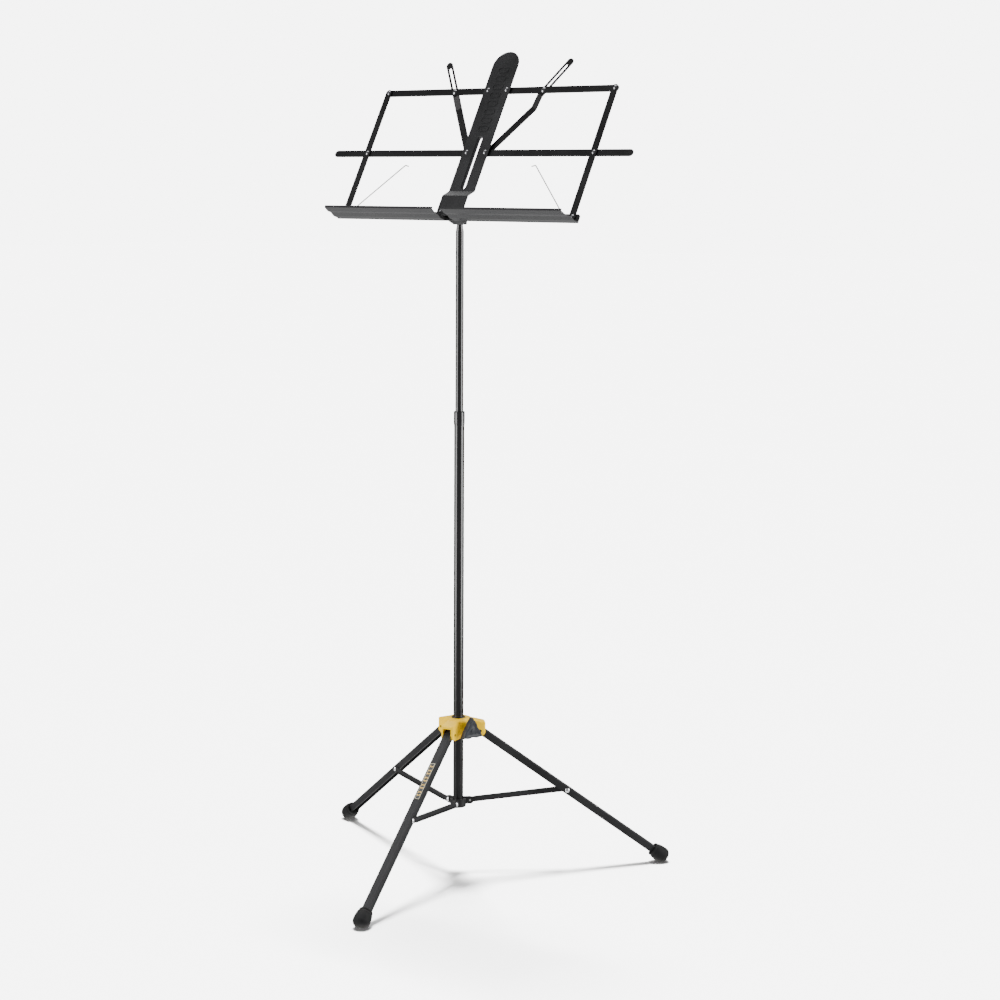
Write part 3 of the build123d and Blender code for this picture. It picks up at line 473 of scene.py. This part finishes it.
def wirePath():  # in the wire's own plane: x across, y along the run, z off the desk
    eye, bend, turn = pageWire["eye"], pageWire["bend"], math.radians(pageWire["hookTurn"])
    climb = pageWire["pitch"] * pageWire["radius"] * pageWire["turns"] / 2
    count = int(pageWire["turns"] * pageWire["eyeSteps"])
    path = []
    for step in range(count + 1):
        angle = 2 * math.pi * (step - count) / pageWire["eyeSteps"]
        path.append((eye * math.cos(angle), eye * math.sin(angle), climb * (0.5 - step / count)))
    straight = pageWire["length"] - bend
    path += [(eye, straight * share, -climb / 2 * (1 - share)) for share in pageWire["along"]]
    for step in range(1, pageWire["bendSteps"] + 1):
        angle = turn * step / pageWire["bendSteps"]
        path.append((eye - bend * (1 - math.cos(angle)), straight + bend * math.sin(angle), 0))
    x, y, _ = path[-1]
    path.append((x - pageWire["hook"] * math.sin(turn), y + pageWire["hook"] * math.cos(turn), 0))
    return path


def makeWires():
    lean = math.radians(pageWire["lean"])
    for side, flip in (("right", 1), ("left", -1)):
        joint = jointAt["wire_" + side]
        out, across = Vector(joint["axis"]) * flip, Vector((1, 0, 0))
        up = out.cross(across)
        curve = bpy.data.curves.new("wire", "CURVE")
        curve.dimensions, curve.use_fill_caps = "3D", True
        curve.bevel_depth, curve.bevel_resolution = pageWire["radius"], pageWire["roundness"]
        path = wirePath()
        spline = curve.splines.new("POLY")
        spline.points.add(len(path) - 1)
        for point, (x, y, z) in zip(spline.points, path):
            tiltedX = x * math.cos(lean) - y * math.sin(lean)
            tiltedY = x * math.sin(lean) + y * math.cos(lean)
            where = Vector(joint["pos_m"]) + across * tiltedX * flip + up * tiltedY + out * z
            point.co = (*where, 1)
        addPiece("spring_wire_" + side, curve, "page_wire_" + side, "wire_steel", finishes["wire_steel"],
                 "page_wire_" + side)


makeWires()
print("page wires")


studio = {"cameraAt": (2.3824, -2.9910, 1.2102), "lens": 79.67, "sensor": 36, "heading": 37.467,
          "down": 8.17, "roll": 0.32, "farthest": 200, "backdrop": 6.5, "room": 0.28, "panel": 7.0,
          "panelFrom": 0.86, "panelTo": 0.97, "panelTilt": 28.0, "under": 3.0, "underFrom": -0.35,
          "underTo": -0.85, "floorSize": 60.0, "floorSun": 21.0, "floorSunSpread": 12.0,
          "floorSunTilt": 20.0, "floorDark": (0.90, 0.90, 0.90), "floorLight": (0.93, 0.93, 0.93),
          "floorScale": 1.5}
sideLights = {"size": (1.5, 2.8), "aim": (0, 0, 0.9), "leftAt": (-1.31, -2.13, 1.2), "leftPower": 106.2,
              "rightAt": (2.37, 0.79, 1.2), "rightPower": 118.0}


def makeCamera():
    data = bpy.data.cameras.new("camera")
    data.lens, data.sensor_width, data.clip_end = studio["lens"], studio["sensor"], studio["farthest"]
    camera = bpy.data.objects.new("camera", data)
    bpy.context.scene.collection.objects.link(camera)
    tilt = Matrix.Rotation(math.radians(90 - studio["down"]), 4, "X")
    turn = Matrix.Rotation(math.radians(studio["heading"]), 4, "Z")
    roll = Matrix.Rotation(math.radians(studio["roll"]), 4, "Z")
    camera.matrix_world = Matrix.Translation(studio["cameraAt"]) @ turn @ tilt @ roll
    bpy.context.scene.camera = camera


def addLamp(name, data, matrix):
    lamp = bpy.data.objects.new(name, data)
    bpy.context.scene.collection.objects.link(lamp)
    lamp.matrix_world = matrix
    return lamp


def sideLight(name, at, power, unlit):
    data = bpy.data.lights.new(name, "AREA")
    data.shape, data.energy = "RECTANGLE", power
    data.size, data.size_y = sideLights["size"]
    aim = (Vector(sideLights["aim"]) - Vector(at)).to_track_quat("-Z", "Y")
    lamp = addLamp(name, data, Matrix.Translation(at) @ aim.to_matrix().to_4x4())
    lamp.visible_camera = False
    lamp.light_linking.receiver_collection = unlit


def fromBehind(tilt):  # points up to a light that hangs above and behind the stand
    lean, heading = math.radians(tilt), math.radians(studio["heading"])
    return Vector((-math.sin(heading) * math.sin(lean), math.cos(heading) * math.sin(lean), math.cos(lean)))


def makeWorld():  # a soft overhead panel in a plain room, before a white backdrop
    world = bpy.data.worlds.new("studioWorld")
    bpy.context.scene.world = world
    world.use_nodes = True
    sky = Paint(None, world.node_tree)
    way = sky.node("ShaderNodeTexCoord", out="Generated")
    height = sky.node("ShaderNodeSeparateXYZ", {}, {"Vector": way}, out="Z")
    near = sky.node("ShaderNodeVectorMath", {"operation": "DOT_PRODUCT"},
                    {0: way, 1: fromBehind(studio["panelTilt"])}, out="Value")
    panel = sky.ramp(near, studio["panelFrom"], studio["panelTo"])
    below = sky.ramp(height, studio["underFrom"], studio["underTo"])
    light = studio["room"] + panel * (studio["panel"] - studio["room"])
    light = light + below * (studio["under"] - studio["room"])
    seen = sky.node("ShaderNodeLightPath", out="Is Camera Ray")
    strength = light + seen * (studio["backdrop"] - light)
    glow = sky.node("ShaderNodeBackground", {}, {"Color": (1, 1, 1, 1), "Strength": strength})
    sky.node("ShaderNodeOutputWorld", {}, {"Surface": glow})


def makeFloor():
    half = studio["floorSize"] / 2
    mesh = flatMesh("floor", [((-half, -half), (half, -half), (half, half), (-half, half))], 0)
    floor = bpy.data.objects.new("floor", mesh)
    bpy.context.scene.collection.objects.link(floor)
    paint = Paint("paleFloor")
    cloud = paint.noise(studio["floorScale"], detail=3)
    tone = paint.blend(cloud, studio["floorDark"], studio["floorLight"])
    mesh.materials.append(paint.finish(Base_Color=tone, Roughness=0.7, Specular_IOR_Level=0.1))
    floor.visible_diffuse = floor.visible_glossy = floor.visible_shadow = False
    data = bpy.data.lights.new("floorSun", "SUN")  # on the floor alone
    data.energy, data.angle = studio["floorSun"], math.radians(studio["floorSunSpread"])
    lit = bpy.data.collections.new("floorOnly")
    lit.objects.link(floor)
    aim = fromBehind(studio["floorSunTilt"]).to_track_quat("Z", "Y").to_matrix().to_4x4()
    addLamp("floorSun", data, aim).light_linking.receiver_collection = lit
    return floor


def makeStudio():
    makeWorld()
    unlit = bpy.data.collections.new("notTheFloor")
    unlit.objects.link(makeFloor())
    unlit.collection_objects[0].light_linking.link_state = "EXCLUDE"
    sideLight("leftLight", sideLights["leftAt"], sideLights["leftPower"], unlit)
    sideLight("rightLight", sideLights["rightAt"], sideLights["rightPower"], unlit)


makeCamera()
makeStudio()
print("studio set")
